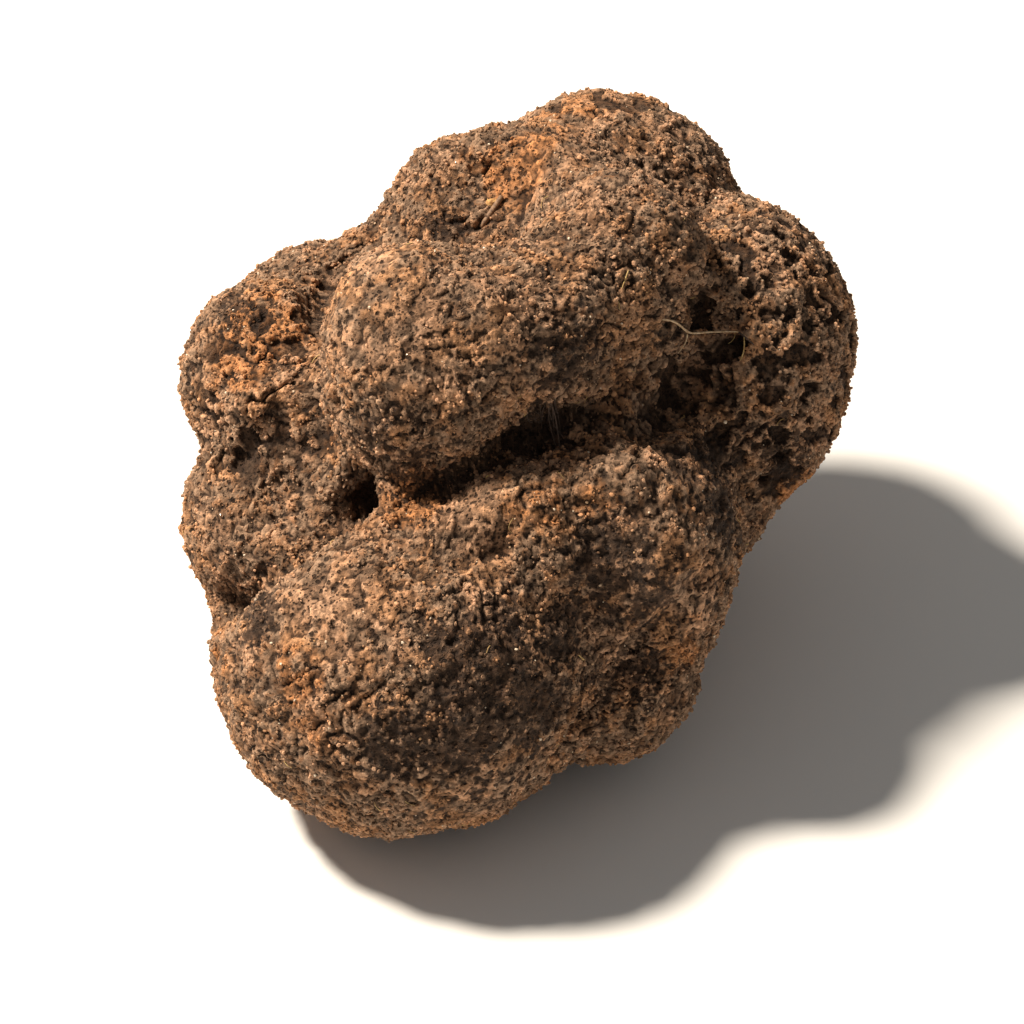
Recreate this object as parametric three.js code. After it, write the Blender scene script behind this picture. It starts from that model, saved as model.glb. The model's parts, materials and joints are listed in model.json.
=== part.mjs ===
// A whole truffle: one knobbly fruiting body, as dug, its lobes grown into each other around a deep cleft.
// Millimetres, +Z up. The truffle lies on a small flat spot. The origin is under the middle of its box.
// +Y runs from the large front lobe to the back lobe, and +X is to the right of someone who looks along +Y.
// The lobes are placed in a frame of their own, and the whole group is then set down on the origin.
import * as THREE from "three";
import { mergeVertices } from "three/addons/utils/BufferGeometryUtils.js";

// ---- Driving dimensions ----
const SKIN_DIVISIONS = 18; // the skin has 20 * (divisions + 1) ** 2 triangles
const LOBE_BLEND = 2.2; // how widely two lobes grow into each other
const HOLLOW_BLEND = 2.5; // how softly a hollow's rim is rounded
const FLAT_SPOT_DEPTH = 0.8; // how much of the roundness underneath is pressed flat

// Each lobe is an ellipsoid: its centre, its half sizes, and its turns about X, Y and Z in degrees.
const LOBES = {
  core: { at: [0.5, 7, 22.5], half: [16, 16, 16] },
  front: { at: [-9, -14, 15], half: [16.3, 15, 14.4] },
  front_crest: { at: [0, -7.5, 24], half: [9.5, 8, 7.5] },
  front_shoulder: { at: [9.6, -6.3, 21], half: [10, 10, 12.5] },
  front_heel: { at: [8.2, -11, 11.4], half: [8, 8, 8] },
  cap_left: { at: [-8.2, -2.4, 38], half: [8, 8, 11], turn: [-15, 0, 0] },
  cap_middle: { at: [-0.5, 0.5, 38.8], half: [10.5, 8, 7.4], turn: [0, -20, 0] },
  cap_right: { at: [8.5, 7, 40], half: [7.8, 8, 9.5], turn: [-30, 15, 0] },
  crown: { at: [0.5, 17.9, 40.2], half: [10.5, 8.6, 6.3], turn: [-40, 0, 0] },
  crown_left: { at: [-5.4, 17.8, 39.2], half: [5.6, 5.2, 5.4] },
  back: { at: [8, 23.8, 34.6], half: [12, 11, 10.8] },
  right: { at: [20, 13, 28], half: [10, 12.5, 13] },
  right_low: { at: [22.5, 7, 24], half: [5.5, 6, 6] },
  right_heel: { at: [16.8, 4, 17.3], half: [6, 6, 6] },
  left: { at: [-21, 7, 29.3], half: [7.8, 8.5, 8.5] },
  left_back: { at: [-16.5, 15, 28.5], half: [8.8, 7.5, 7.5] },
  left_low: { at: [-22.5, -3, 21.5], half: [6.2, 7, 7] },
  left_inner: { at: [-18, -2, 22], half: [5, 5, 4] },
  left_knob: { at: [-21, -9.5, 17], half: [4.5, 4.5, 4] },
  left_heel: { at: [-21, -5.5, 9.5], half: [5.5, 6.5, 6.5] },
  belly: { at: [-1, 2, 9], half: [17, 19, 8.6] },
  left_base: { at: [-15, 2, 14], half: [9, 10, 11] },
  right_base: { at: [9, 5, 12], half: [10.5, 11, 10.5] },
  back_fill: { at: [-6, 15, 29.5], half: [11, 10, 11] },
  back_base: { at: [6, 17, 13], half: [15, 13, 12.5] },
  back_left_base: { at: [-13, 13, 14], half: [12, 11.5, 12.5] },
};

// Hollows cut back out of the lobes: the cleft under the cap, and the dimple on its far side.
const HOLLOWS = {
  cleft: { at: [-13.5, 1, 25], half: [6, 9, 4.5], turn: [-35, 0, 0] },
  dimple: { at: [-3.2, 12.8, 45], half: [5.5, 3.6, 4.4], turn: [-20, 0, 0] },
};

// What clings to the skin. A root is given by the places that it passes.
const CLEARANCE = 0.6; // between the skin and anything on it
const LIFT_STEPS = 6; // how often a place is corrected to its height above the skin
const ROOT_SIDES = 6;
const STEPS_PER_POINT = 4;
const ROOT_HAIR = {
  radius: 0.12,
  along: [
    [12.3, 0, 40.4],
    [13.4, 1.2, 39.3],
    [14.6, 2.8, 37.4],
    [15.8, 4.2, 36.1],
    [16.6, 4.4, 36.5],
    [17.3, 4.2, 36.6],
  ],
};
const ROOT_THREAD = {
  radius: 0.14,
  along: [
    [17.9, 4, 36.6],
    [18.6, 3.7, 36.4],
    [19.2, 3.3, 36.2],
  ],
};
const ROOT_STUB = {
  radius: 0.28,
  along: [
    [-2.2, 11.9, 40.7],
    [-1.4, 12.6, 41],
    [-0.4, 13.6, 41.5],
  ],
};
const EARTH_CRUMB = { at: [-2.2, 14.3, 41.3], half: new THREE.Vector3(0.8, 0.6, 0.5) };

// ---- The body as a field: negative inside, zero on the skin, positive outside ----

function ellipsoid({ at, half, turn = [0, 0, 0] }) {
  const rotation = new THREE.Euler(...turn.map(THREE.MathUtils.degToRad));
  return {
    centre: new THREE.Vector3(...at),
    half: new THREE.Vector3(...half),
    toLocal: new THREE.Quaternion().setFromEuler(rotation).invert(),
  };
}

const lobes = Object.values(LOBES).map(ellipsoid);
const hollows = Object.values(HOLLOWS).map(ellipsoid);
const local = new THREE.Vector3();
const scaled = new THREE.Vector3();

function distanceToEllipsoid(point, shape) {
  local.copy(point).sub(shape.centre).applyQuaternion(shape.toLocal);
  const across = scaled.copy(local).divide(shape.half).length();
  const slope = scaled.divide(shape.half).length();
  return slope < 1e-9 ? -Math.min(...shape.half.toArray()) : (across * (across - 1)) / slope;
}

// The smaller of two distances, rounded off where they are about equal.
function smoothMin(a, b, blend) {
  const share = Math.max(blend - Math.abs(a - b), 0) / blend;
  return Math.min(a, b) - (share * share * blend) / 4;
}

function field(point) {
  let body = Infinity;
  for (const lobe of lobes) {
    body = smoothMin(body, distanceToEllipsoid(point, lobe), LOBE_BLEND);
  }
  for (const hollow of hollows) {
    body = -smoothMin(-body, distanceToEllipsoid(point, hollow), HOLLOW_BLEND);
  }
  return body;
}

// ---- The skin: a finely divided sphere that shrinks onto the lobes, level by level ----

const START_RADIUS = 54;
const START_LEVEL = 24; // the sphere shrinks onto the surface this far outside the lobes first
const SHRINK_STEPS = 60;
const SETTLE_STEPS = 70;
const EVEN_OUT = 0.5; // how strongly each step evens out the triangles
const SINK_WITH_EVENING = 0.15; // how much of that evening out may go through the skin, not along it
const CREASE_PULL = 1; // how much closer the points stand in the creases
const CREASE_REACH = 3; // how far from a crease that is felt
const EASE_STEPS = 3; // passes that even out the creases once the skin has settled
const EASE_SHARE = 0.5; // how far each pass moves a point in a crease towards its neighbours' mean
const LONGEST_STEP = 1.2;
const PROBE = 0.02; // the distance over which the field's slope is measured

const probe = new THREE.Vector3();

function slopeAt(point, here) {
  const slope = new THREE.Vector3();
  for (const axis of ["x", "y", "z"]) {
    probe.copy(point)[axis] += PROBE;
    slope[axis] = (field(probe) - here) / PROBE;
  }
  return slope;
}

// 1 on a lobe, and more towards a crease, where the two nearest lobes are equally near.
function creaseWeight(point) {
  let nearest = Infinity;
  let next = Infinity;
  for (const lobe of lobes) {
    const distance = distanceToEllipsoid(point, lobe);
    next = Math.min(next, Math.max(nearest, distance));
    nearest = Math.min(nearest, distance);
  }
  return 1 + CREASE_PULL * Math.exp(-(next - nearest) / CREASE_REACH);
}

// Evens out the points in the creases, where they still zigzag from one lobe to the next.
function easeCreases(points, neighbours) {
  const shares = points.map((point) => Math.min((creaseWeight(point) - 1) / CREASE_PULL, 1));
  for (let step = 0; step < EASE_STEPS; step++) {
    const eased = points.map((point, i) => {
      const mean = new THREE.Vector3();
      for (const j of neighbours[i]) mean.add(points[j]);
      mean.divideScalar(neighbours[i].length);
      return point.clone().lerp(mean, EASE_SHARE * shares[i]);
    });
    eased.forEach((point, i) => points[i].copy(point));
  }
}

function neighboursOf(geometry) {
  const neighbours = Array.from({ length: geometry.attributes.position.count }, () => new Set());
  const corners = geometry.index.array;
  for (let i = 0; i < corners.length; i += 3) {
    for (const [a, b] of [[0, 1], [1, 2], [2, 0]]) {
      neighbours[corners[i + a]].add(corners[i + b]);
      neighbours[corners[i + b]].add(corners[i + a]);
    }
  }
  return neighbours.map((set) => [...set]);
}

function shrinkSkin() {
  const sphere = new THREE.IcosahedronGeometry(1, SKIN_DIVISIONS);
  sphere.deleteAttribute("normal");
  sphere.deleteAttribute("uv");
  const skin = mergeVertices(sphere, 1e-5);
  const position = skin.attributes.position;
  const neighbours = neighboursOf(skin);
  const middle = new THREE.Vector3(...LOBES.core.at);
  const points = neighbours.map((_, i) =>
    new THREE.Vector3().fromBufferAttribute(position, i).multiplyScalar(START_RADIUS).add(middle),
  );

  for (let step = 0; step < SHRINK_STEPS + SETTLE_STEPS; step++) {
    const level = START_LEVEL * Math.max(0, 1 - (step + 1) / SHRINK_STEPS) ** 1.5;
    const weights = points.map(creaseWeight);
    const moved = points.map((point, i) => {
      const evening = new THREE.Vector3();
      let total = 0;
      for (const j of neighbours[i]) {
        evening.addScaledVector(points[j], weights[j]);
        total += weights[j];
      }
      evening.divideScalar(total).sub(point).multiplyScalar(EVEN_OUT);
      const here = field(point);
      const slope = slopeAt(point, here);
      const steepness = Math.max(slope.length(), 0.5);
      slope.normalize();
      evening.addScaledVector(slope, -evening.dot(slope) * (1 - SINK_WITH_EVENING));
      const sink = THREE.MathUtils.clamp((level - here) / steepness, -LONGEST_STEP, LONGEST_STEP);
      return point.clone().add(evening).addScaledVector(slope, sink);
    });
    moved.forEach((point, i) => points[i].copy(point));
  }
  easeCreases(points, neighbours);
  points.forEach((point, i) => position.setXYZ(i, point.x, point.y, point.z));
  return skin;
}

// Presses the underside flat where the truffle rests.
function pressFlat(skin) {
  skin.computeBoundingBox();
  const floor = skin.boundingBox.min.z + FLAT_SPOT_DEPTH;
  const position = skin.attributes.position;
  for (let i = 0; i < position.count; i++) position.setZ(i, Math.max(position.getZ(i), floor));
  skin.computeBoundingBox();
  return skin;
}

// ---- What clings to the truffle: a root hair, a root thread, a root stub and a crumb of earth ----

// Moves a point straight out from the skin, or in to it, until it is as high above it as asked.
function aboveSkin(place, height) {
  const point = new THREE.Vector3(...place);
  for (let step = 0; step < LIFT_STEPS; step++) {
    const here = field(point);
    const slope = slopeAt(point, here);
    point.addScaledVector(slope, (height - here) / slope.lengthSq());
  }
  return point;
}

// A round root along hand-picked points, each lifted clear of the skin.
function rootAlong(places, radius) {
  const path = new THREE.CatmullRomCurve3(places.map((place) => aboveSkin(place, radius + CLEARANCE)));
  const round = new THREE.Shape().absarc(0, 0, radius, 0, 2 * Math.PI, false);
  return new THREE.ExtrudeGeometry(round, {
    steps: places.length * STEPS_PER_POINT,
    curveSegments: ROOT_SIDES,
    extrudePath: path,
  });
}

function crumbAt(place, half) {
  const crumb = new THREE.IcosahedronGeometry(1, 1);
  const middle = aboveSkin(place, half.z + CLEARANCE);
  return crumb.scale(half.x, half.y, half.z).translate(middle.x, middle.y, middle.z);
}

// ---- The whole ----

function piece(name, geometry, color, roughness) {
  const mesh = new THREE.Mesh(geometry, new THREE.MeshStandardMaterial({ color, roughness, metalness: 0 }));
  mesh.name = name;
  return mesh;
}

const body = piece("truffle_body", pressFlat(shrinkSkin()), 0x7a5a40, 0.95);
const truffle = new THREE.Group();
truffle.add(
  body,
  piece("root_hair", rootAlong(ROOT_HAIR.along, ROOT_HAIR.radius), 0xc8a27e, 0.7),
  piece("root_thread", rootAlong(ROOT_THREAD.along, ROOT_THREAD.radius), 0x4a3a38, 0.8),
  piece("root_stub", rootAlong(ROOT_STUB.along, ROOT_STUB.radius), 0x9a7f66, 0.9),
  piece("earth_crumb", crumbAt(EARTH_CRUMB.at, EARTH_CRUMB.half), 0xb8864a, 0.95),
);

// The origin goes under the middle of the body, at the height of the flat spot.
const middle = body.geometry.boundingBox.getCenter(new THREE.Vector3());
truffle.position.set(-middle.x, -middle.y, -body.geometry.boundingBox.min.z);

export default truffle;
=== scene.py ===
# %% [markdown]
# # A truffle, as it came out of the ground
#
# A truffle is one solid, knobbly body. What the eye sees of it is mostly earth: a thin dry crust that
# fills the creases, is pricked by pores and holes, and carries thousands of grains of sand and soil.
# The body's true shape comes from the CAD model, which is loaded first as a fixed frame. Blender's work is
# everything finer than a lobe: the relief of the crust, its colours, the loose grains and a few roots.

# %% The frame
import json
import math
import random

import bmesh
import bpy
from mathutils import Matrix, Quaternion, Vector, noise
from mathutils.bvhtree import BVHTree

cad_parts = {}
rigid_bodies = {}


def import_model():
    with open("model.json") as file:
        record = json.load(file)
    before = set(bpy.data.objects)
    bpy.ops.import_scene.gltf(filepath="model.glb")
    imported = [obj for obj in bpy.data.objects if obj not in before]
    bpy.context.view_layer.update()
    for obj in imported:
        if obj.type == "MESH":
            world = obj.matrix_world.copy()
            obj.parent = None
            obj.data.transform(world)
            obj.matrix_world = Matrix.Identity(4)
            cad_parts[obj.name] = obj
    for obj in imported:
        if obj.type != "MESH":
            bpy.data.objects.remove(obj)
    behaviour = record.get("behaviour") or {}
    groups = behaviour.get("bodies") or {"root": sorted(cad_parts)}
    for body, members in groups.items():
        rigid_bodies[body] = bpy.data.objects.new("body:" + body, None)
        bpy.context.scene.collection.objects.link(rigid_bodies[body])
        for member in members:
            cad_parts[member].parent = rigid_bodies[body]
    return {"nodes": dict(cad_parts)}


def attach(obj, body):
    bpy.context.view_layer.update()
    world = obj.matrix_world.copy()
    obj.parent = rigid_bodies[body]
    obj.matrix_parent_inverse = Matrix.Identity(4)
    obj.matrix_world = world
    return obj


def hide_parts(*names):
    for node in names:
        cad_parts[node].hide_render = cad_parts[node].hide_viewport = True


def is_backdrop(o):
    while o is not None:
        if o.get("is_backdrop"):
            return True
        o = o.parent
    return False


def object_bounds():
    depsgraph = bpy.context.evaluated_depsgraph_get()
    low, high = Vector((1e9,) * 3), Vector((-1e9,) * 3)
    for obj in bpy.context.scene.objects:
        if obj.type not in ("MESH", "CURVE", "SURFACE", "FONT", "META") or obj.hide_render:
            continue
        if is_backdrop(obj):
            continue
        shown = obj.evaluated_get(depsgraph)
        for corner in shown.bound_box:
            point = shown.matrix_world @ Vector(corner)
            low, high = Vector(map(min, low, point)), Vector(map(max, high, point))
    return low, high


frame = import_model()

CAD_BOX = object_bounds()
LOW, HIGH = Vector(CAD_BOX[0]), Vector(CAD_BOX[1])
SPAN = HIGH - LOW
MM = 0.001
print("CAD box in mm:", [round(side / MM, 1) for side in SPAN])

# %% [markdown]
# Places on the truffle are easiest to give as shares of its box: 0 is the left, front or lowest side of
# the box and 1 the right, back or highest side. They stay right if the model is made a little larger.


# %% Places as shares of the box
def at(x, y, z):
    return LOW + Vector((x * SPAN.x, y * SPAN.y, z * SPAN.z))


# %% [markdown]
# `noise_vector` shifts its noise by random offsets, which Blender draws from the clock unless a seed is set.
# With a seed, the crust comes out the same each time.

# %% Noise that is the same each time
NOISE_SEED = 7
noise.seed_set(NOISE_SEED)
print("noise seed", NOISE_SEED)

# %% [markdown]
# ## Camera
#
# The truffle is looked down on from the side of its largest lobe, as it would lie on a table in front of
# somebody. A long lens from close by keeps the lobes in true proportion and still shows some depth.

# %% Camera
ELEVATION = math.radians(40)
DISTANCE = 0.29
LOOK_AT = at(0.489, 0.414, 0.435)

camera = bpy.data.objects.new("camera", bpy.data.cameras.new("camera"))
camera.data.lens = 120
camera.location = LOOK_AT + DISTANCE * Vector((0, -math.cos(ELEVATION), math.sin(ELEVATION)))
camera.rotation_euler = (LOOK_AT - camera.location).to_track_quat("-Z", "Y").to_euler()
bpy.context.scene.collection.objects.link(camera)
bpy.context.scene.camera = camera
print("camera at", [round(c, 3) for c in camera.location])

# %% [markdown]
# ## Light and floor
#
# Earth only shows its grain in light that comes from one side. A broad, warm lamp stands behind the left
# shoulder of the truffle and high up, so every lobe has a lit top and a dark underside. A weak, even sky
# fills the shadows just enough to read what is in them.


# %% Light and floor
def soft_lamp(name, direction, distance, size, watts, color):
    lamp = bpy.data.objects.new(name, bpy.data.lights.new(name, "AREA"))
    lamp.data.shape = "DISK"
    lamp.data.size = size
    lamp.data.energy = watts
    lamp.data.color = color
    lamp.location = LOOK_AT + distance * Vector(direction).normalized()
    lamp.rotation_euler = (LOOK_AT - lamp.location).to_track_quat("-Z", "Y").to_euler()
    bpy.context.scene.collection.objects.link(lamp)
    return lamp


soft_lamp("key", (-0.56, 0.15, 0.81), distance=0.8, size=0.12, watts=14.6, color=(1.0, 0.90, 0.77))

world = bpy.data.worlds.new("sky")
world.use_nodes = True
world.node_tree.nodes["Background"].inputs["Color"].default_value = (1.0, 0.98, 0.95, 1)
world.node_tree.nodes["Background"].inputs["Strength"].default_value = 0.22
bpy.context.scene.world = world
bpy.context.scene.view_settings.view_transform = "Standard"

FLOOR_SIDE = 6.0
shape = bmesh.new()
bmesh.ops.create_grid(shape, x_segments=1, y_segments=1, size=FLOOR_SIDE / 2)
floor = bpy.data.objects.new("floor", bpy.data.meshes.new("floor"))
shape.to_mesh(floor.data)
shape.free()
bpy.context.scene.collection.objects.link(floor)
floor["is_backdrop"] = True

# %% [markdown]
# ## Shader maths in plain Python
#
# A node tree with fifty Math nodes is hard to read. Here a `Value` wraps the output of a node, and `+`,
# `-`, `*` and `/` on it add the Math node that does the sum. Every other node is made by `Finish.node`,
# which takes the type of the node, its settings, and what goes into its sockets.


# %% Shader maths
class Value:
    def __init__(self, finish, socket):
        self.finish = finish
        self.socket = socket

    def maths(self, operation, first, second):
        return self.finish.node("ShaderNodeMath", {"operation": operation}, {0: first, 1: second})

    def __add__(self, other):
        return self.maths("ADD", self, other)

    def __radd__(self, other):
        return self.maths("ADD", other, self)

    def __sub__(self, other):
        return self.maths("SUBTRACT", self, other)

    def __rsub__(self, other):
        return self.maths("SUBTRACT", other, self)

    def __mul__(self, other):
        return self.maths("MULTIPLY", self, other)

    def __rmul__(self, other):
        return self.maths("MULTIPLY", other, self)

    def __truediv__(self, other):
        return self.maths("DIVIDE", self, other)

    def __rtruediv__(self, other):
        return self.maths("DIVIDE", other, self)


class Finish:
    """A material whose nodes are added one by one, round its Principled shader."""

    def __init__(self, name):
        self.material = bpy.data.materials.new(name)
        self.material.use_nodes = True
        self.tree = self.material.node_tree
        self.shader = self.tree.nodes["Principled BSDF"]
        self.place = self.node("ShaderNodeTexCoord", out="Object")
        self.bent = self.bend(0.5, 0.35)

    def feed(self, socket, given):
        if isinstance(given, Value):
            self.tree.links.new(given.socket, socket)
        elif isinstance(given, tuple) and len(given) == 3 and len(socket.default_value) == 4:
            socket.default_value = (*given, 1.0)
        else:
            socket.default_value = given

    def node(self, kind, settings=None, inputs=None, out=0):
        made = self.tree.nodes.new(kind)
        for name, setting in (settings or {}).items():
            setattr(made, name, setting)
        for name, given in (inputs or {}).items():
            self.feed(made.inputs[name], given)
        return Value(self, made.outputs[out])

    def set(self, **inputs):
        for name, given in inputs.items():
            self.feed(self.shader.inputs[name.replace("_", " ")], given)

    def bend(self, mm, reach):
        """The place, pushed about by up to half of reach mm, so that round cells turn irregular."""
        inputs = {"Vector": self.place, "Scale": 1 / (mm * MM), "Detail": 1.0}
        push = self.node("ShaderNodeTexNoise", inputs=inputs, out="Color")
        push = self.vectors("SUBTRACT", push, (0.5, 0.5, 0.5))
        return self.vectors("ADD", self.tint(push, reach * MM), self.place)

    def vectors(self, operation, first, second):
        return self.node("ShaderNodeVectorMath", {"operation": operation}, {0: first, 1: second})

    def cloud(self, mm, detail=3.0, roughness=0.55):
        """Soft noise with patches of about that size, mostly between 0.3 and 0.7."""
        inputs = {"Vector": self.place, "Scale": 1 / (mm * MM), "Detail": detail, "Roughness": roughness}
        return self.node("ShaderNodeTexNoise", inputs=inputs)

    def cells(self, mm):
        """The distance to the middle of the nearest cell, 0 at the middle and about 0.6 at the edge."""
        inputs = {"Vector": self.bent, "Scale": 1 / (mm * MM)}
        return self.node("ShaderNodeTexVoronoi", inputs=inputs, out="Distance")

    def rise(self, value, low, high):
        """0 below low, 1 above high and a soft step between them. It falls where high is the lower."""
        inputs = {"Value": value, "From Min": low, "From Max": high}
        return self.node("ShaderNodeMapRange", {"interpolation_type": "SMOOTHSTEP"}, inputs)

    def mix(self, share, first, second):
        """Two colours mixed: the first where share is 0 and the second where it is 1."""
        inputs = {0: share, 6: first, 7: second}
        return self.node("ShaderNodeMix", {"data_type": "RGBA"}, inputs, out=2)

    def tint(self, color, factor):
        """A colour times a number."""
        return self.node("ShaderNodeVectorMath", {"operation": "SCALE"}, {"Vector": color, "Scale": factor})

    def painted(self, name):
        """The three channels of a colour attribute."""
        color = self.node("ShaderNodeAttribute", {"attribute_name": name}, out="Color")
        split = self.node("ShaderNodeSeparateColor", inputs={"Color": color}, out=0)
        return [Value(self, split.socket.node.outputs[channel]) for channel in range(3)]

    def bump(self, height, strength, mm):
        inputs = {"Height": height, "Strength": strength, "Distance": mm * MM}
        return self.node("ShaderNodeBump", inputs=inputs)


floor_finish = Finish("pale_floor")
floor_finish.set(Base_Color=(0.84, 0.83, 0.81), Roughness=0.9)
floor.data.materials.append(floor_finish.material)

# %% [markdown]
# ## The body
#
# The CAD body has the right lobes, but its facets are 2 mm long and a crust shows grains of half a
# millimetre. So the mesh is refined in two rounds. The first round gives points 0.6 mm apart, enough to
# carve creases. The second gives points 0.2 mm apart, enough for pores and single crumbs. A CAD
# node comes as loose triangles, so the copy's doubles are merged before anything else.

# %% A copy of the body
skin = bmesh.new()
skin.from_mesh(frame["nodes"]["truffle_body"].data)
bmesh.ops.remove_doubles(skin, verts=skin.verts, dist=0.001 * MM)
print("body:", len(skin.verts), "points,", len(skin.faces), "faces")

# %% [markdown]
# That many faces are too many for one piece, so the body will be sliced into four wedges at the end, as a
# cake is. One wedge faces the camera's side and the other three share the rest. Their texture maps are
# laid out now, while there are few faces to unwrap: each wedge gets a map of its own, and refining the
# mesh refines the maps with it. A wedge owns the points that lie most in its direction.

# %% Four wedges
CENTRE = at(0.5, 0.5, 0.45)
FRONT = Vector((0, -math.cos(ELEVATION), math.sin(ELEVATION)))
WEDGES = {"front": FRONT}
tilted = Quaternion((1, 0, 0), math.acos(-1 / 3)) @ FRONT
for number, side in enumerate(["under", "right", "left"]):
    WEDGES[side] = Quaternion(FRONT, number * math.radians(120)) @ tilted
for side, direction in WEDGES.items():
    print(side, [round(c, 2) for c in direction])


def beyond(place, side):
    """How far a place lies beyond the wedge's own area, in metres. It is negative inside the area."""
    own = (place - CENTRE).dot(WEDGES[side])
    others = (place - CENTRE).dot
    return max(others(direction) for name, direction in WEDGES.items() if name != side) - own


# %% A texture map for each wedge
MAP_MARGIN = 4 * MM


def unwrap_wedges(bm):
    """Gives the bmesh one UV map per wedge, each over that wedge's faces and a margin."""
    bpy.context.tool_settings.mesh_select_mode = (False, False, True)
    mesh = bpy.data.meshes.new("to_unwrap")
    bm.to_mesh(mesh)
    obj = bpy.data.objects.new("to_unwrap", mesh)
    bpy.context.scene.collection.objects.link(obj)
    bpy.context.view_layer.objects.active = obj
    for side in WEDGES:
        mesh.uv_layers.active = mesh.uv_layers.new(name=side)
        inside = [beyond(face.center, side) < MAP_MARGIN for face in mesh.polygons]
        mesh.polygons.foreach_set("select", inside)
        bpy.ops.object.mode_set(mode="EDIT")
        bpy.ops.uv.unwrap(method="CONFORMAL", margin=0.001)
        bpy.ops.object.mode_set(mode="OBJECT")
        print(side, "wedge:", sum(inside), "faces unwrapped")
    bm.clear()
    bm.from_mesh(mesh)
    bpy.data.objects.remove(obj)
    bpy.data.meshes.remove(mesh)


unwrap_wedges(skin)


# %% First round of refining
def smooth(bm, rounds, factor=0.5):
    for _ in range(rounds):
        bmesh.ops.smooth_vert(
            bm, verts=bm.verts, factor=factor, use_axis_x=True, use_axis_y=True, use_axis_z=True
        )


def refine(bm, cuts, rounds):
    bmesh.ops.subdivide_edges(bm, edges=bm.edges, cuts=cuts, use_grid_fill=True)
    smooth(bm, rounds)
    bm.normal_update()


refine(skin, cuts=2, rounds=5)
print("body:", len(skin.verts), "points,", len(skin.faces), "faces")

# %% [markdown]
# ## Folds
#
# The lobes of a truffle press on each other as they swell, so they meet in folds that are deep, narrow
# and dark. Each fold is carved along a line of places with a radius and a depth in mm. A deep, open
# hollow goes in under the left of the cap. A negative depth fills a dip instead. Points move along the normals of a
# much smoother copy of the body, so that the two walls of a fold don't cross.

# %% Folds to carve
FOLDS = {
    "hollow under the cap": (
        [(0.18, 0.55, 0.45), (0.22, 0.56, 0.39), (0.28, 0.53, 0.38)],
        3.0,
        4.2,
    ),
    "under the cap": (
        [(0.36, 0.35, 0.57), (0.40, 0.32, 0.61), (0.45, 0.33, 0.64), (0.50, 0.36, 0.66), (0.56, 0.39, 0.68)],
        0.9,
        1.3,
    ),
    "under the cap's right": ([(0.56, 0.39, 0.68), (0.62, 0.40, 0.68), (0.68, 0.38, 0.67)], 1.4, 1.0),
    "right valley": (
        [(0.68, 0.38, 0.67), (0.75, 0.49, 0.63), (0.78, 0.51, 0.71), (0.76, 0.53, 0.77)],
        2.6,
        1.2,
    ),
    "back valley": ([(0.76, 0.53, 0.77), (0.72, 0.49, 0.89), (0.67, 0.52, 0.97), (0.63, 0.58, 1.0)], 2.2, 1.1),
    "left of the cap": (
        [(0.28, 0.69, 0.79), (0.23, 0.66, 0.73), (0.21, 0.55, 0.73), (0.23, 0.36, 0.79)],
        1.6,
        0.9,
    ),
    "between the left lobes": ([(0.05, 0.40, 0.57), (0.11, 0.41, 0.57), (0.17, 0.50, 0.50)], 2.0, 1.1),
    "left of the front": (
        [(0.05, 0.27, 0.38), (0.10, 0.25, 0.46), (0.15, 0.25, 0.52), (0.20, 0.27, 0.55), (0.28, 0.31, 0.57)],
        3.0,
        2.6,
    ),
    "right of the front": (
        [(0.78, 0.27, 0.49), (0.74, 0.22, 0.45), (0.67, 0.20, 0.36), (0.61, 0.16, 0.28), (0.56, 0.11, 0.22)],
        2.2,
        1.0,
    ),
    "lip of the dimple": ([(0.44, 0.58, 0.90), (0.50, 0.56, 0.92)], 1.4, 0.6),
    "fuller left": ([(0.12, 0.44, 0.66), (0.17, 0.45, 0.65), (0.14, 0.43, 0.58)], 4.0, -2.2),
    "shallower dimple": ([(0.38, 0.66, 0.83), (0.45, 0.66, 0.85)], 4.5, -1.6),
    "fuller cap": ([(0.42, 0.42, 0.84), (0.46, 0.36, 0.82), (0.44, 0.30, 0.74)], 5.0, -1.5),
    "fuller front": ([(0.48, 0.27, 0.62), (0.53, 0.25, 0.60), (0.55, 0.22, 0.55)], 5.0, -1.5),
    "fuller crest": ([(0.40, 0.26, 0.59), (0.48, 0.28, 0.62), (0.56, 0.30, 0.64), (0.64, 0.30, 0.64)], 4.0, -1.8),
}


def distance_to_line(place, line):
    """The distance from a place to a line of joined places."""
    nearest = math.inf
    for start, end in zip(line, line[1:]):
        along = end - start
        share = min(max((place - start).dot(along) / along.length_squared, 0.0), 1.0)
        nearest = min(nearest, (place - start - along * share).length)
    return nearest


def carve(bm, folds, blur_rounds):
    smoother = bm.copy()
    smooth(smoother, blur_rounds)
    smoother.normal_update()
    directions = [point.normal.copy() for point in smoother.verts]
    smoother.free()
    tree = BVHTree.FromBMesh(bm)
    for name, (shares, radius, depth) in folds.items():
        line = [tree.find_nearest(at(*share))[0] for share in shares]
        moved = 0
        for point, direction in zip(bm.verts, directions):
            near = distance_to_line(point.co, line) / (radius * MM)
            if near < 1:
                point.co -= direction * depth * MM * (1 - near * near) ** 2
                moved += 1
        print(name, "moved", moved, "points")


carve(skin, FOLDS, blur_rounds=25)
smooth(skin, 2)

# %% [markdown]
# Every other crease is sharpened in one go. A smoother copy shows where they are: creases lie below it. Pushing
# those points further in along their normals makes each crease narrower. How deep a point lies is kept in a layer
# of the mesh, and the finish paints shade into the creases from it.

# %% Sharper creases
BLUR_ROUNDS = 22
DEEPEN = 0.9
FULL_CREASE = 0.8 * MM

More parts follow.
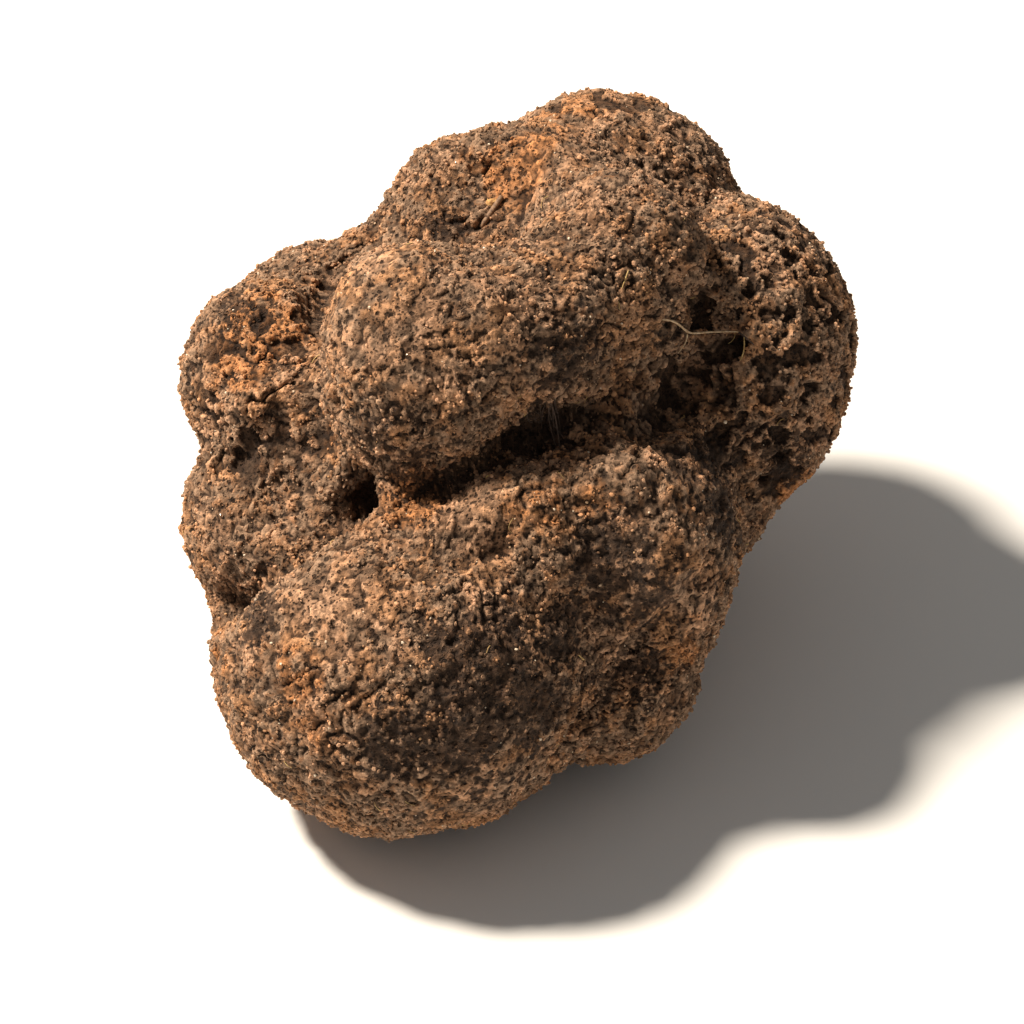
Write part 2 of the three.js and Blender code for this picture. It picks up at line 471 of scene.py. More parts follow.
crease = skin.verts.layers.float.new("crease")
blurred = skin.copy()
smooth(blurred, BLUR_ROUNDS)
skin.normal_update()
for point, smooth_point in zip(skin.verts, blurred.verts):
    sunk = max(0.0, (smooth_point.co - point.co).dot(point.normal))
    point[crease] = min(sunk / FULL_CREASE, 1.0)
    point.co -= point.normal * sunk * DEEPEN
blurred.free()
smooth(skin, 2)
skin.normal_update()

# %% [markdown]
# ## Zones of the crust
#
# The crust isn't the same all over. It is a smooth film with pinholes on the tops of some lobes, a gravel of grains
# on others, and coarse and full of holes on the right. Damp, dark soil sticks in bands and hollows, and the dark
# zone also holds painted shade on the lower and right sides of the lobes and under the cap. Bare, rusty skin shows
# in between, and the smooth zone also paints light on the crest under the cap. Each zone is a list of balls: a
# place as shares of the box, a radius in mm and a strength. How far inside its zones a point lies is kept in a
# layer of the mesh.

# %% Zones of the crust
ZONES = {
    # The dark zone is partly damp soil and partly painted shade: on the lower and right sides of the front lobe,
    # under the cap and in the hollow below it.
    "dark": [
        ((0.46, 0.08, 0.45), 7.5, 1.0),
        ((0.40, 0.03, 0.38), 7.0, 0.9),
        ((0.50, 0.10, 0.36), 5.5, 0.7),
        ((0.60, 0.22, 0.55), 4.0, 1.0),
        ((0.57, 0.16, 0.44), 3.5, 0.7),
        ((0.15, 0.17, 0.47), 3.2, 0.45),
        ((0.20, 0.54, 0.40), 3.5, 0.6),
        ((0.34, 0.33, 0.70), 6.0, 0.5),
        ((0.39, 0.66, 0.83), 3.0, 0.7),
        ((0.11, 0.25, 0.47), 2.4, 0.7),
        ((0.17, 0.26, 0.53), 2.4, 0.7),
        ((0.67, 0.20, 0.45), 8.0, 0.5),
        ((0.68, 0.18, 0.33), 6.0, 0.5),
        ((0.46, 0.02, 0.24), 7.0, 0.5),
        ((0.22, 0.28, 0.55), 2.4, 0.7),
        ((0.55, 0.38, 0.84), 5.0, 0.5),
        ((0.54, 0.37, 0.69), 3.0, 0.8),
        ((0.76, 0.38, 0.50), 8.0, 0.6),
        ((0.90, 0.45, 0.50), 5.0, 0.5),
        ((0.08, 0.55, 0.72), 3.5, 0.6),
        ((0.62, 0.95, 0.60), 9.0, 0.6),
        ((0.30, 0.80, 0.30), 9.0, 0.6),
    ],
    "rusty": [
        ((0.49, 0.70, 0.92), 5.0, 0.9),
        ((0.11, 0.50, 0.74), 6.0, 0.8),
        ((0.20, 0.08, 0.46), 5.5, 0.6),
        ((0.14, 0.20, 0.28), 6.0, 0.7),
        ((0.73, 0.22, 0.32), 5.0, 0.6),
        ((0.35, 0.28, 0.60), 4.5, 0.8),
        ((0.28, 0.40, 0.68), 4.0, 0.7),
        ((0.55, 0.26, 0.63), 5.0, 0.5),
        ((0.90, 0.52, 0.40), 5.0, 0.6),
        ((0.60, 0.80, 0.92), 6.0, 0.4),
        ((0.10, 0.75, 0.55), 7.0, 0.6),
        ((0.55, 0.97, 0.25), 8.0, 0.5),
    ],
    "smooth": [
        ((0.30, 0.42, 0.93), 7.0, 1.0),
        ((0.33, 0.36, 0.86), 6.0, 0.8),
        ((0.46, 0.38, 0.92), 5.0, 0.5),
        ((0.22, 0.12, 0.55), 6.0, 0.9),
        ((0.70, 0.20, 0.44), 7.0, 0.8),
        ((0.46, 0.02, 0.25), 7.0, 0.7),
        ((0.52, 0.68, 0.93), 5.0, 0.8),
        ((0.62, 0.80, 0.95), 9.0, 0.5),
        # This ball also lightens the crest under the cap. That is painted light where the cap's shadow falls.
        ((0.44, 0.24, 0.60), 5.0, 0.6),
    ],
    "holed": [
        ((0.85, 0.60, 0.60), 17.0, 1.0),
        ((0.70, 0.20, 0.25), 8.0, 0.4),
        ((0.12, 0.50, 0.65), 9.0, 0.7),
        ((0.62, 0.85, 0.80), 9.0, 0.5),
        ((0.25, 0.85, 0.45), 12.0, 0.6),
    ],
}
for zone, balls in ZONES.items():
    layer = skin.verts.layers.float.new(zone)
    balls = [(at(*share), radius * MM, strength) for share, radius, strength in balls]
    for point in skin.verts:
        point[layer] = max(
            strength * (1 - (point.co - middle).length / radius) for middle, radius, strength in balls
        )

# %% Second round of refining
refine(skin, cuts=2, rounds=3)
print("body:", len(skin.verts), "points,", len(skin.faces), "faces")

# %% [markdown]
# ## Relief
#
# The relief has several layers, from coarse to fine: lumps, crumbs, gravel, round holes, cracks that run
# across the front lobe, and the few large holes that can be pointed at. Cell noise gives the holes and the
# gravel: the distance to the nearest of many scattered points is a ring of heights round each point.


# %% Layers of relief
def rounded_step(value, low, high):
    share = min(max((value - low) / (high - low), 0.0), 1.0)
    return share * share * (3 - 2 * share)


def lumps(place):
    """Lumps of 7 mm and 3 mm."""
    return 0.36 * noise.noise(place / 7) + 0.26 * noise.noise(place / 3.1 + Vector((9, 2, 5)))


def crumbs(place):
    """Rounded crumbs with narrow gaps between them, in three sizes from 1.4 mm down."""
    return noise.turbulence(place / 1.4, 3, True, noise_basis="PERLIN_ORIGINAL")


def gravel(place, cell):
    """Separate rounded lumps, 1 on top of a lump and 0 on the ground between them."""
    nearest = noise.voronoi(place / cell)[0][0]
    return max(0.0, 1 - (nearest / 0.62) ** 2)


def holes(place, cell, share):
    """1 at the middle of a hole. Only about that share of the cells has one, each of its own width."""
    distances, middles = noise.voronoi(place / cell)
    lot = noise.cell(middles[0] * 7.3)
    if lot > share:
        return 0.0
    width = 0.18 + 0.24 * lot / share
    return 1 - rounded_step(distances[0], width * 0.5, width)


def cracks(place):
    """Thin cracks that run up from left to right."""
    along = Vector((0.86, 0.34, 0.36))
    stretched = place - along * place.dot(along) * 0.72
    ridge = abs(noise.noise(stretched / 2.8) + 0.35 * noise.noise(place / 1.3))
    return 1 - rounded_step(ridge, 0.0, 0.11)


# %% [markdown]
# The large holes are where an insect, a root or a stone left its mark. Each one is a place, a radius and a
# depth in mm. The place is moved to the nearest point of the body first.

# %% Holes that can be pointed at
HOLES = [
    ((0.80, 0.50, 0.72), 1.05, 2.6),
    ((0.94, 0.60, 0.74), 0.9, 1.6),
    ((0.88, 0.47, 0.49), 0.7, 1.4),
    ((0.86, 0.47, 0.44), 0.6, 1.2),
    ((0.67, 0.33, 0.67), 0.6, 1.4),
    ((0.24, 0.34, 0.76), 0.9, 2.0),
    ((0.22, 0.36, 0.70), 0.6, 1.2),
    ((0.54, 0.36, 0.70), 0.55, 1.8),
    ((0.53, 0.35, 0.67), 0.6, 1.8),
    ((0.41, 0.09, 0.52), 0.5, 0.6),
    # The next three lie in the hollow under the cap. Besides a little depth, they paint shade over its floor.
    ((0.18, 0.54, 0.44), 2.0, 1.0),
    ((0.22, 0.56, 0.39), 2.7, 1.0),
    ((0.28, 0.53, 0.38), 2.7, 1.0),
    ((0.34, 0.42, 0.47), 1.8, 1.4),
]
skin_tree = BVHTree.FromBMesh(skin)
HOLES_MM = [
    (skin_tree.find_nearest(at(*share))[0] / MM, radius, depth) for share, radius, depth in HOLES
]


def large_holes(place):
    """(depth in mm, share of painted shade) of the large holes at a place."""
    deepest = dark = 0.0
    for middle, radius, depth in HOLES_MM:
        distance = (place - middle).length
        if distance < radius * 2:
            distance *= 1 + 0.5 * noise.noise(place / 0.7)
            inside = 1 - rounded_step(distance, radius * 0.4, radius * 1.2)
            deepest = max(deepest, depth * inside)
            dark = max(dark, inside)
    return deepest, dark


# %% [markdown]
# Now each point is moved along its normal by the sum of the layers, and what the layers did there is kept for two
# colour attributes. `earth` says how dark (damp soil and painted shade), how rusty and how gravelly the crust is.
# `relief` says how deep the point lies in a crease and in a hole or crack, which the finish darkens with painted
# shade. The finish reads both.

# %% The relief on the body
EDGE_MM = 5.0

zone_layers = [skin.verts.layers.float[zone] for zone in ZONES]
crease = skin.verts.layers.float["crease"]
earth_and_shade_paint = []
relief_and_shade_paint = []
moves = []
for point in skin.verts:
    place = point.co / MM
    wobble = 0.4 * noise.noise(place / EDGE_MM) + 0.25 * noise.noise(place / 1.6)
    dark, rusty, film, holed = (
        min(1.0, max(0.0, 2.2 * (point[layer] + wobble))) for layer in zone_layers
    )
    rough = 1 - film
    warped = place + noise.noise_vector(place / 1.3) * 0.45 + noise.noise_vector(place / 0.5) * 0.15
    coarse = holes(warped, 1.6, 0.05 + 0.22 * holed)
    fine = holes(warped + Vector((3, 1, 7)), 0.95, 0.32 + 0.40 * holed)
    crack = cracks(place) * rough * rounded_step(noise.noise(place / 6 + Vector((4, 4, 4))), -0.1, 0.3)
    depth, hole_shade = large_holes(place)
    height = (
        lumps(place)
        + (0.10 + 0.26 * rough - 0.10 * holed) * (crumbs(warped) - 0.5)
        + 0.17 * rough * (gravel(warped, 0.68) - 0.3)
        - (0.20 + 0.25 * holed) * coarse
        - (0.14 + 0.08 * holed) * fine
        - 0.35 * crack
        - depth
    )
    moves.append(height * MM)
    earth_and_shade_paint.append((dark, rusty, rough, 1.0))
    # How much painted shade goes into holes and cracks.
    hole = max(coarse * (0.4 + 0.6 * holed), 0.55 * fine, hole_shade)
    relief_and_shade_paint.append([point[crease], max(hole, 0.7 * crack), 0.5, 1.0])

for point, move in zip(skin.verts, moves):
    point.co += point.normal * move
    point.co.z = max(point.co.z, 0.0)
skin.normal_update()
print("relief from", round(min(moves) / MM, 2), "to", round(max(moves) / MM, 2), "mm")

# %% [markdown]
# The gaps between crumbs get painted shade and their tops get painted light. A copy that is smoothed a few times
# tells which is which: a point under it is in a gap. That goes in the third channel of `relief`: 0.5 is level,
# lower is a gap and higher is a top.

# %% Gaps and tops
FULL_GAP_SHADE = 0.09 * MM

levelled_for_shade = skin.copy()
smooth(levelled_for_shade, 5)
for point, level, painted in zip(skin.verts, levelled_for_shade.verts, relief_and_shade_paint):
    above = (point.co - level.co).dot(point.normal) / FULL_GAP_SHADE
    painted[2] = min(max(0.5 + 0.5 * above, 0.0), 1.0)
levelled_for_shade.free()

# %% [markdown]
# A finished shape becomes an object in one step, always at the origin, so that its place is in its mesh.
# `piece` also attaches it to the root body, hides the CAD node it stands for and puts its finish in its one slot.


# %% From shape to piece
def piece(name, mesh, finish, node=None, smooth_shading=True):
    obj = bpy.data.objects.new(name, mesh)
    bpy.context.scene.collection.objects.link(obj)
    mesh.materials.clear()
    mesh.materials.append(finish.material)
    mesh.shade_smooth() if smooth_shading else mesh.shade_flat()
    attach(obj, "root")
    if node:
        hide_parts(node)
    return obj


def paint(mesh, name, colors):
    layer = mesh.attributes.new(name, "FLOAT_COLOR", "POINT")
    layer.data.foreach_set("color", [channel for color in colors for channel in color])


body_mesh = bpy.data.meshes.new("whole_body")
skin.to_mesh(body_mesh)
skin.free()
paint(body_mesh, "earth", earth_and_shade_paint)
paint(body_mesh, "relief", relief_and_shade_paint)
print("body:", len(body_mesh.polygons), "faces")

# %% [markdown]
# ## The finish of the crust
#
# Dry earth is tan where the light has bleached it, grey-brown where it is thick, rusty where the skin of the
# truffle shows through, and nearly black where soil is still damp and where the dark zones hold painted shade. The
# colours are laid over each other in that order, with the painted zones broken up by noise. Painted shade goes last
# into creases, holes, cracks and the gaps between crumbs, and painted light onto crumb tops. Pinholes and the gaps
# between grains are too fine for the mesh, so they are dots of painted shade and a bump.

# %% The finish of the crust
TAN = (0.40, 0.205, 0.10)
PINK_TAN = (0.45, 0.26, 0.155)
GREY_BROWN = (0.28, 0.175, 0.11)
BROWN = (0.16, 0.075, 0.034)
RUSTY = (0.42, 0.18, 0.068)
SOIL_AND_SHADE = (0.052, 0.028, 0.016)
PIT_SHADE = (0.018, 0.009, 0.005)


def crust_color(finish):
    """The colour of the crust before its pores, with painted shade in creases, holes and gaps, painted light on
    crumb tops, and where damp soil and painted shade lie on it.
    """
    dark, rusty, rough = finish.painted("earth")
    hollow, hole, level = finish.painted("relief")
    color = finish.mix(finish.rise(finish.cloud(4.5), 0.38, 0.62), TAN, PINK_TAN)
    grey_share = finish.rise(finish.cloud(2.3, detail=5) + 0.06 * rough, 0.47, 0.62)
    color = finish.mix(grey_share, color, GREY_BROWN)
    brown_share = finish.rise(finish.cloud(0.9, detail=4), 0.50, 0.66) * (0.35 + 0.5 * rough)
    color = finish.mix(brown_share, color, BROWN)
    rust_share = finish.rise(0.4 * rusty + finish.cloud(1.3, detail=4), 0.60, 0.95) * 0.85
    color = finish.mix(rust_share, color, RUSTY)
    # Soil patches: more in the dark zones, which hold damp soil and painted shade, and more in the gaps between
    # crumbs as painted shade.
    patchy = finish.cloud(0.8, detail=6, roughness=0.65) + 0.27 * dark - 0.16 * level
    soil_and_shade_share = finish.rise(patchy + 0.05 * rough, 0.53, 0.65) * 0.9
    color = finish.mix(soil_and_shade_share, color, SOIL_AND_SHADE)
    # Painted shade in the creases.
    color = finish.mix(finish.rise(hollow, 0.3, 1.0) * 0.6, color, SOIL_AND_SHADE)
    # Painted shade in holes and cracks.
    color = finish.mix(finish.rise(hole, 0.2, 0.9) * 0.85, color, PIT_SHADE)
    # Painted shade in the gaps between crumbs. The next line adds painted light on their tops.
    color = finish.mix(finish.rise(level, 0.44, 0.07) * 0.8, color, SOIL_AND_SHADE)
    color = finish.tint(color, 0.75 + 0.6 * level)
    return color, rough, soil_and_shade_share


crust = Finish("earthy_crust")
color, rough, soil_and_shade_share = crust_color(crust)
pores = crust.rise(crust.cells(0.75), 0.32, 0.22) * crust.rise(crust.cloud(1.5), 0.44, 0.54)
pinholes = crust.rise(crust.cells(0.40), 0.33, 0.22) * crust.rise(crust.cloud(0.9), 0.42, 0.52)
fine = crust.cloud(0.3, detail=5, roughness=0.75)
speckle = crust.cloud(0.45, detail=3)
color = crust.tint(color, 0.5 + 1.0 * crust.rise(speckle, 0.32, 0.68))
# Pores and pinholes are dark dots of painted shade, for holes too fine for the mesh.
color = crust.mix(0.85 * pores, color, PIT_SHADE)
color = crust.mix(0.8 * pinholes, color, PIT_SHADE)
height = 0.9 * fine + 0.8 * speckle - 1.1 * pores - 0.9 * pinholes
crust.set(
    Base_Color=color,
    Roughness=0.95 - 0.2 * soil_and_shade_share,
    Normal=crust.bump(height, 1.0, 0.28),
)
crust.shader.inputs["Specular IOR Level"].default_value = 0.25

# %% [markdown]
# Now the body is sliced. A wedge keeps the faces of its own area and a narrow margin beyond it, and the
# margin dips under the neighbour's surface, so the seam can't open or flicker. The cut edge is drawn under
# the crust and then to the heart of the body, which closes the wedge to a solid.

# %% Wedges of the body
SEAM_MARGIN = 0.9 * MM
DIP = 0.5
EDGE_DEPTH = 1.5 * MM
HEART = at(0.58, 0.50, 0.36)


def cut_wedge(side):
    wedge = bmesh.new()
    wedge.from_mesh(body_mesh)
    outside = {point for point in wedge.verts if beyond(point.co, side) > SEAM_MARGIN}
    bmesh.ops.delete(wedge, geom=list(outside), context="VERTS")
    for point in wedge.verts:
        past = beyond(point.co, side)
        if past > 0:
            point.co -= point.normal * past * DIP
    wedge.normal_update()
    for step in ("under the crust", "to the heart"):
        border = [edge for edge in wedge.edges if edge.is_boundary]
        made = bmesh.ops.extrude_edge_only(wedge, edges=border)
        drawn_in = [item for item in made["geom"] if isinstance(item, bmesh.types.BMVert)]
        if step == "under the crust":
            for point in drawn_in:
                inwards = (HEART - point.co).normalized()
                point.co += (inwards - point.normal).normalized() * EDGE_DEPTH
    bmesh.ops.pointmerge(wedge, verts=drawn_in, merge_co=HEART)
    bmesh.ops.recalc_face_normals(wedge, faces=wedge.faces)
    for name in WEDGES:
        if name != side:
            wedge.loops.layers.uv.remove(wedge.loops.layers.uv[name])
    mesh = bpy.data.meshes.new("truffle_" + side)
    wedge.to_mesh(mesh)
    wedge.free()
    mesh.uv_layers[0].name = "OFBake"
    return mesh


for side in WEDGES:
    wedge = piece("truffle_" + side, cut_wedge(side), crust, node="truffle_body")
    print(wedge.name, len(wedge.data.polygons), "faces")

# %% [markdown]
# ## Grains
#
# Close up, the crust is made of grains: crumbs of soil, and sand from 0.2 to 0.9 mm. Each is a stone with twenty
# faces, made once and stamped thousands of times, turned, stretched and sunk into the crust by a third. They lie
# thick on the rough zones and thin on the smooth ones, and take on the colour of the earth round them, with its
# painted shade.

# %% One stone
stone = bmesh.new()
bmesh.ops.create_icosphere(stone, subdivisions=1, radius=1.0)
stone.verts.ensure_lookup_table()
STONE_POINTS = [point.co.copy() for point in stone.verts]
STONE_FACES = [[point.index for point in face.verts] for face in stone.faces]
stone.free()

# %% Places for grains
body_mesh.calc_loop_triangles()
TRIANGLES = [tuple(triangle.vertices) for triangle in body_mesh.loop_triangles]
BODY_POINTS = [point.co.copy() for point in body_mesh.vertices]
BODY_NORMALS = [point.normal.copy() for point in body_mesh.vertices]


def weights_for(liking):
    """For each triangle of the body, its area times how much a grain likes to lie there."""
    weights = []
    for triangle, (a, b, c) in zip(body_mesh.loop_triangles, TRIANGLES):
        weights.append(triangle.area * liking(a))
    return weights


def scatter(count, weights, seed):
    """Random places on the body: (place, normal, nearest body point)."""
    chance = random.Random(seed)
    for a, b, c in chance.choices(TRIANGLES, weights=weights, k=count):
        u, v = chance.random(), chance.random()
        if u + v > 1:
            u, v = 1 - u, 1 - v
        place = BODY_POINTS[a] + (BODY_POINTS[b] - BODY_POINTS[a]) * u + (BODY_POINTS[c] - BODY_POINTS[a]) * v
        yield place, BODY_NORMALS[a], a


def random_turn(chance):
    axis = Vector((chance.gauss(0, 1), chance.gauss(0, 1), chance.gauss(0, 1)))
    return Quaternion(axis.normalized(), chance.uniform(0, 2 * math.pi))


def grains(name, count, sizes, liking, finish, seed):
    """Many stones in one mesh. sizes is the smallest and largest radius in mm."""
    chance = random.Random(seed)
    points, faces, earth, relief = [], [], [], []
    for place, normal, near in scatter(count, weights_for(liking), seed + 1):
        radius = sizes[0] + (sizes[1] - sizes[0]) * chance.random() ** 1.8
        turn = random_turn(chance)
        stretch = Vector([chance.uniform(0.5, 1.2) for _ in range(3)]) * radius * MM
        middle = place + normal * radius * MM * chance.uniform(-0.1, 0.4)
        first = len(points)
        points.extend(middle + turn @ (point * stretch) for point in STONE_POINTS)
        faces.extend([first + corner for corner in face] for face in STONE_FACES)
        # Each grain takes the earth values of the body point below it, including the painted shade of the dark
        # zones.
        earth.extend([earth_and_shade_paint[near]] * len(STONE_POINTS))
        tone = chance.random()
        # The crease depth below the grain carries the crust's painted crease shade onto it. The tone is the grain's
        # own lightness.
        relief.extend([(relief_and_shade_paint[near][0], tone, 0.0, 1.0)] * len(STONE_POINTS))
    mesh = bpy.data.meshes.new(name)
    mesh.from_pydata(points, [], faces)
    paint(mesh, "earth", earth)
    paint(mesh, "relief", relief)
    made = piece(name, mesh, finish, smooth_shading=False)
    print(name, len(mesh.polygons), "faces")
    return made


# %% [markdown]
# Two finishes do for all grains. Crumbs have the colours of the crust, with its painted shade, a little lighter or
# darker one by one. Sand grains are clean quartz, straw-coloured to white, and they catch the light.


# %% Finishes of the grains
def crumb_finish(name, darkest, lightest):
    finish = Finish(name)
    dark, rusty, rough = finish.painted("earth")
    hollow, tone, _ = finish.painted("relief")
    color = finish.mix(finish.rise(finish.cloud(4.5), 0.38, 0.62), TAN, PINK_TAN)
    color = finish.mix(finish.rise(finish.cloud(2.3, detail=5), 0.45, 0.62), color, GREY_BROWN)
    rust_share = finish.rise(0.4 * rusty + finish.cloud(1.3, detail=4), 0.60, 0.95) * 0.85
    color = finish.mix(rust_share, color, RUSTY)
    # Soil patches on grains, more in the dark zones, which hold damp soil and painted shade.
    patchy = finish.cloud(0.8, detail=6, roughness=0.65) + 0.27 * dark - 0.08
    color = finish.mix(finish.rise(patchy, 0.52, 0.64) * 0.8, color, SOIL_AND_SHADE)
    # Painted shade on grains that lie in creases.
    color = finish.mix(finish.rise(hollow, 0.3, 1.0) * 0.6, color, SOIL_AND_SHADE)
    color = finish.tint(color, darkest + (lightest - darkest) * tone)
    fine = finish.cloud(0.12)
    finish.set(Base_Color=color, Roughness=0.95 - 0.1 * fine, Normal=finish.bump(fine, 0.8, 0.05))
    finish.shader.inputs["Specular IOR Level"].default_value = 0.2
    return finish


crumb_earth = crumb_finish("crust_crumbs", darkest=0.5, lightest=1.5)


def liking_for_rough(near):
    dark, rusty, rough, _ = earth_and_shade_paint[near]
    _, hole, level, _ = relief_and_shade_paint[near]
    return (0.15 + rough) * max(0.0, 1 - 1.5 * hole)


for number in range(3):
    grains(
        f"crust_crumbs_{number + 1}", 9000, (0.07, 0.24), liking_for_rough, crumb_earth, 100 + number
    )

# %% [markdown]
# Clean sand lies among the crumbs: a few hundred grains of quartz, white to straw-coloured, that glint.

# %% Quartz sand
quartz = Finish("quartz_sand")
tone = quartz.painted("relief")[1]
milky = quartz.cloud(0.3)
sand_color = quartz.mix(quartz.rise(tone, 0.3, 0.9), (0.75, 0.62, 0.46), (0.55, 0.30, 0.13))
quartz.set(Base_Color=quartz.tint(sand_color, 0.8 + 0.4 * milky), Roughness=0.15 + 0.5 * milky)
quartz.shader.inputs["Coat Weight"].default_value = 0.3
quartz.shader.inputs["Coat Roughness"].default_value = 0.1


def liking_for_open(near):
    hollow, hole, _, _ = relief_and_shade_paint[near]
    return max(0.0, 1 - hole - hollow)


grains("quartz_sand", 900, (0.06, 0.17), liking_for_open, quartz, 300)

# %% [markdown]
# ## Roots and straw
#
# A truffle grows among roots, and a few bits of them stay in the crust: a pale hair that lies across the
# edge of the largest hole, a dark thread inside it, a broken stub in the dimple, and flecks of straw. A strand is
# easiest as a curve with a round bevel: it needs a few places, each moved onto the crust, and a radius at
# each. The curve is turned into a mesh at once, so that its place is in its mesh like every other piece's.

# %% Strands
crust_tree = BVHTree.FromPolygons(BODY_POINTS, TRIANGLES)


def on_crust(share, lift):
    """A place on the crust near a share of the box, lifted by so many mm."""
    place, normal, _, _ = crust_tree.find_nearest(at(*share))
    return place + normal * lift * MM


def strands(name, lines, finish, node=None):
    """One piece of many strands. A line is a list of (place, radius in mm)."""
    data = bpy.data.curves.new(name, "CURVE")
    data.dimensions = "3D"
    data.bevel_depth = MM
    data.bevel_resolution = 2
    data.resolution_u = 5
    data.use_fill_caps = True
    for line in lines:
        spline = data.splines.new("NURBS")
        spline.points.add(len(line) - 1)
        spline.use_endpoint_u = True
        spline.order_u = min(4, len(line))
        for point, (place, radius) in zip(spline.points, line):
            point.co = (*place, 1.0)
            point.radius = radius
    curve = bpy.data.objects.new(name, data)
    bpy.context.scene.collection.objects.link(curve)
    shape = curve.evaluated_get(bpy.context.evaluated_depsgraph_get())
    mesh = bpy.data.meshes.new_from_object(shape)
    bpy.data.objects.remove(curve)
    mesh.name = name
    made = piece(name, mesh, finish, node)
    print(name, len(mesh.polygons), "faces")
    return made


# %% [markdown]
# Root bark is fibrous, so its colour and bump come from noise that is fine and strongly tinted. The pale hair looks
# like old ivory. The dark thread is dead and nearly black.


# %% Root finishes
def root_finish(name, pale, dark, mm):
    finish = Finish(name)
    fibre = finish.cloud(mm, detail=4, roughness=0.7)
    color = finish.mix(finish.rise(fibre, 0.35, 0.65), dark, pale)
    finish.set(Base_Color=color, Roughness=0.55 + 0.3 * fibre, Normal=finish.bump(fibre, 0.7, 0.03))
    return finish


pale_root = root_finish("pale_root", (0.66, 0.50, 0.32), (0.40, 0.25, 0.13), 0.3)
dark_root = root_finish("dark_root", (0.10, 0.06, 0.04), (0.03, 0.018, 0.012), 0.2)
root_bark = root_finish("root_bark", (0.30, 0.17, 0.09), (0.10, 0.05, 0.025), 0.35)
straw = root_finish("straw", (0.62, 0.44, 0.17), (0.34, 0.20, 0.07), 0.4)

# %% The hair, the thread and the stub
HAIR = [
    ((0.70, 0.45, 0.82), 0.10, 0.06),
    ((0.72, 0.47, 0.80), 0.35, 0.09),
    ((0.74, 0.50, 0.75), 0.40, 0.10),
    ((0.76, 0.51, 0.74), 0.55, 0.10),
    ((0.775, 0.51, 0.745), 0.55, 0.08),
    ((0.79, 0.50, 0.75), 0.30, 0.05),
]
BRANCH = [((0.745, 0.505, 0.745), 0.45, 0.07), ((0.74, 0.50, 0.73), 0.30, 0.06), ((0.73, 0.49, 0.71), 0.05, 0.04)]
THREAD = [((0.79, 0.50, 0.75), 0.2, 0.06), ((0.81, 0.49, 0.745), 0.5, 0.08), ((0.83, 0.48, 0.73), 0.1, 0.05)]
STUB = [((0.45, 0.64, 0.83), 0.05, 0.22), ((0.46, 0.655, 0.835), 0.35, 0.27), ((0.48, 0.67, 0.84), 0.45, 0.24)]


def laid(line):
    return [(on_crust(share, lift), radius) for share, lift, radius in line]


strands("root_hair_fibre", [laid(HAIR), laid(BRANCH)], pale_root, node="root_hair")
strands("root_thread_fibre", [laid(THREAD)], dark_root, node="root_thread")
strands("root_stub_bark", [laid(STUB)], root_bark, node="root_stub")

# %% [markdown]
# The crumb beside the stub is a lump of ochre earth. It starts as a ball that is squashed a little, and
# noise roughens it.

# %% The ochre crumb
CRUMB_RADIUS = 0.62 * MM

crumb = bmesh.new()
bmesh.ops.create_icosphere(crumb, subdivisions=4, radius=CRUMB_RADIUS)
crumb_place = on_crust((0.46, 0.675, 0.84), 0.25)
for point in crumb.verts:
    direction = point.co / CRUMB_RADIUS
    point.co *= 1 + 0.35 * noise.noise(direction * 1.3) + 0.14 * noise.noise(direction * 4)
    point.co = Vector((point.co.x * 1.15, point.co.y * 0.9, point.co.z * 0.7)) + crumb_place
bmesh.ops.recalc_face_normals(crumb, faces=crumb.faces)
crumb_mesh = bpy.data.meshes.new("ochre_crumb")
crumb.to_mesh(crumb_mesh)
crumb.free()
ochre = Finish("ochre_earth")
grit = ochre.cloud(0.25, detail=4)
ochre_color = ochre.mix(ochre.rise(grit, 0.35, 0.65), (0.30, 0.14, 0.045), (0.55, 0.32, 0.12))
ochre.set(Base_Color=ochre_color, Roughness=0.95 - 0.1 * grit, Normal=ochre.bump(grit, 0.9, 0.08))
piece("ochre_crumb", crumb_mesh, ochre, node="earth_crumb")

# %% [markdown]
# The last pieces are straw: three flecks at known places, and short hairs scattered over the rough crust,
# each bent and with its middle lifted off the ground.

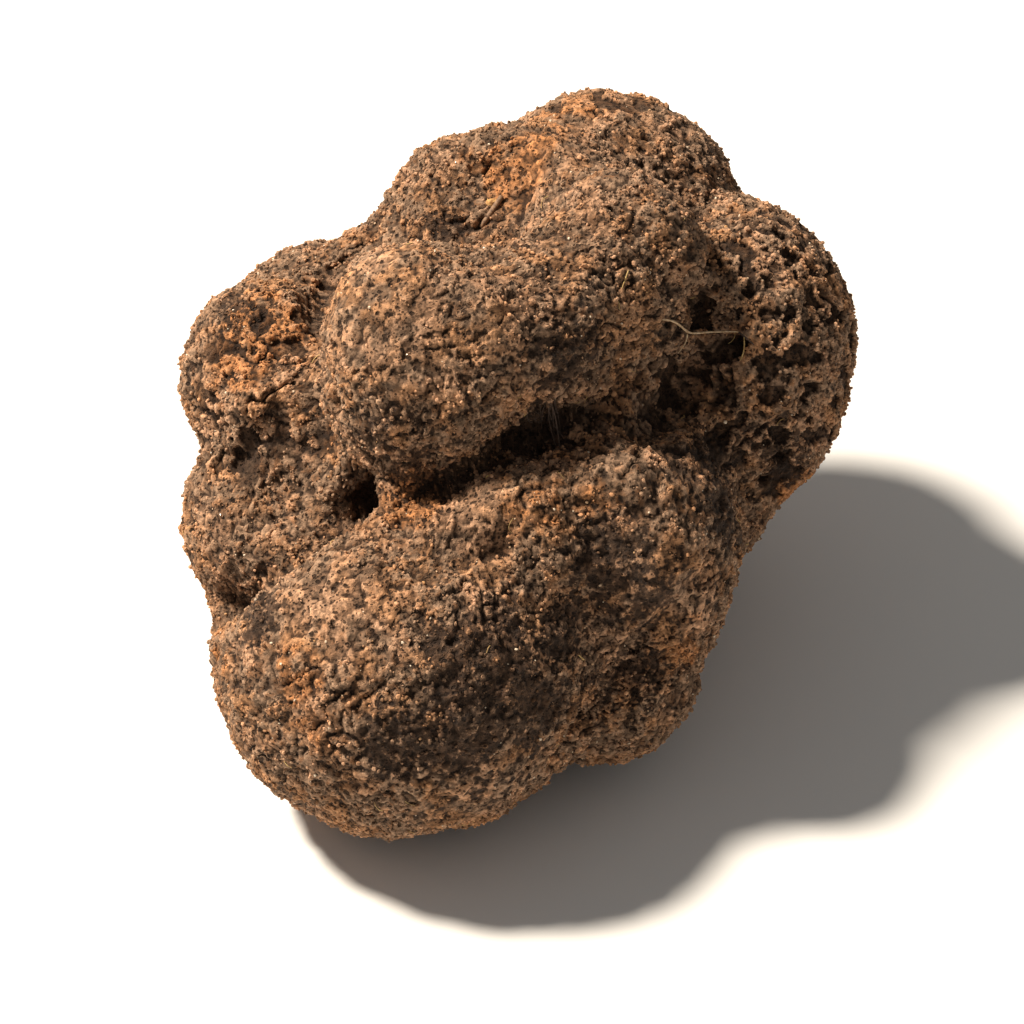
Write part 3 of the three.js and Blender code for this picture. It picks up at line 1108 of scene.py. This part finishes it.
# %% Straw
FLECKS = [
    ([(0.650, 0.465, 0.915), (0.648, 0.455, 0.905), (0.642, 0.45, 0.895)], 0.08),
    ([(0.635, 0.435, 0.885), (0.640, 0.43, 0.880), (0.645, 0.42, 0.875)], 0.07),
    ([(0.585, 0.165, 0.395), (0.590, 0.165, 0.385), (0.597, 0.165, 0.38)], 0.10),
    ([(0.815, 0.50, 0.725), (0.812, 0.495, 0.715), (0.808, 0.49, 0.70)], 0.09),
]
straw_lines = []
for shares, radius in FLECKS:
    lifts = (0.02, 0.15, 0.05)
    radii = (0.5 * radius, radius, 0.4 * radius)
    straw_lines.append([(on_crust(*both), thick) for both, thick in zip(zip(shares, lifts), radii)])

HAIRS = 70
chance = random.Random(41)
for place, normal, near in scatter(HAIRS, weights_for(liking_for_rough), seed=42):
    length = chance.uniform(0.5, 1.6) * MM
    along = (random_turn(chance) @ normal).cross(normal).normalized()
    bend = along.cross(normal) * chance.uniform(-0.4, 0.4)
    radius = chance.uniform(0.018, 0.04)
    line = []
    for share, lift, side in ((-0.5, 0.0, 0.0), (-0.15, 0.14, 0.5), (0.2, 0.2, 0.4), (0.5, 0.08, -0.3)):
        spot = place + (along * share + bend * side) * length
        on, out, _, _ = crust_tree.find_nearest(spot)
        line.append((on + out * lift * MM, radius))
    straw_lines.append(line)
strands("straw_flecks", straw_lines, straw)

# %% [markdown]
# Dark fibres hang in the slot under the cap.

# %% Fibres under the cap
chance = random.Random(51)
slot_lines = []
for number in range(14):
    x = 0.535 + chance.uniform(-0.02, 0.02)
    y = 0.36 + chance.uniform(-0.02, 0.02)
    top, low = chance.uniform(0.70, 0.75), chance.uniform(0.65, 0.69)
    ends = [(x, y, top), (x + chance.uniform(-0.01, 0.01), y, (top + low) / 2), (x + 0.01, y, low)]
    lifts = (0.0, chance.uniform(0.2, 0.5), 0.1)
    slot_lines.append([(on_crust(*both), chance.uniform(0.03, 0.06)) for both in zip(ends, lifts)])
strands("slot_fibres", slot_lines, dark_root)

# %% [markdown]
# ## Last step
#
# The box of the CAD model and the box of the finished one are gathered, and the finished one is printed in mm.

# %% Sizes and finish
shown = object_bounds()
boxes = {
    "cad": [list(corner) for corner in CAD_BOX],
    "visual": [list(corner) for corner in shown],
}
print("visual box in mm:", [round((high - low) / MM, 1) for low, high in zip(*boxes["visual"])])
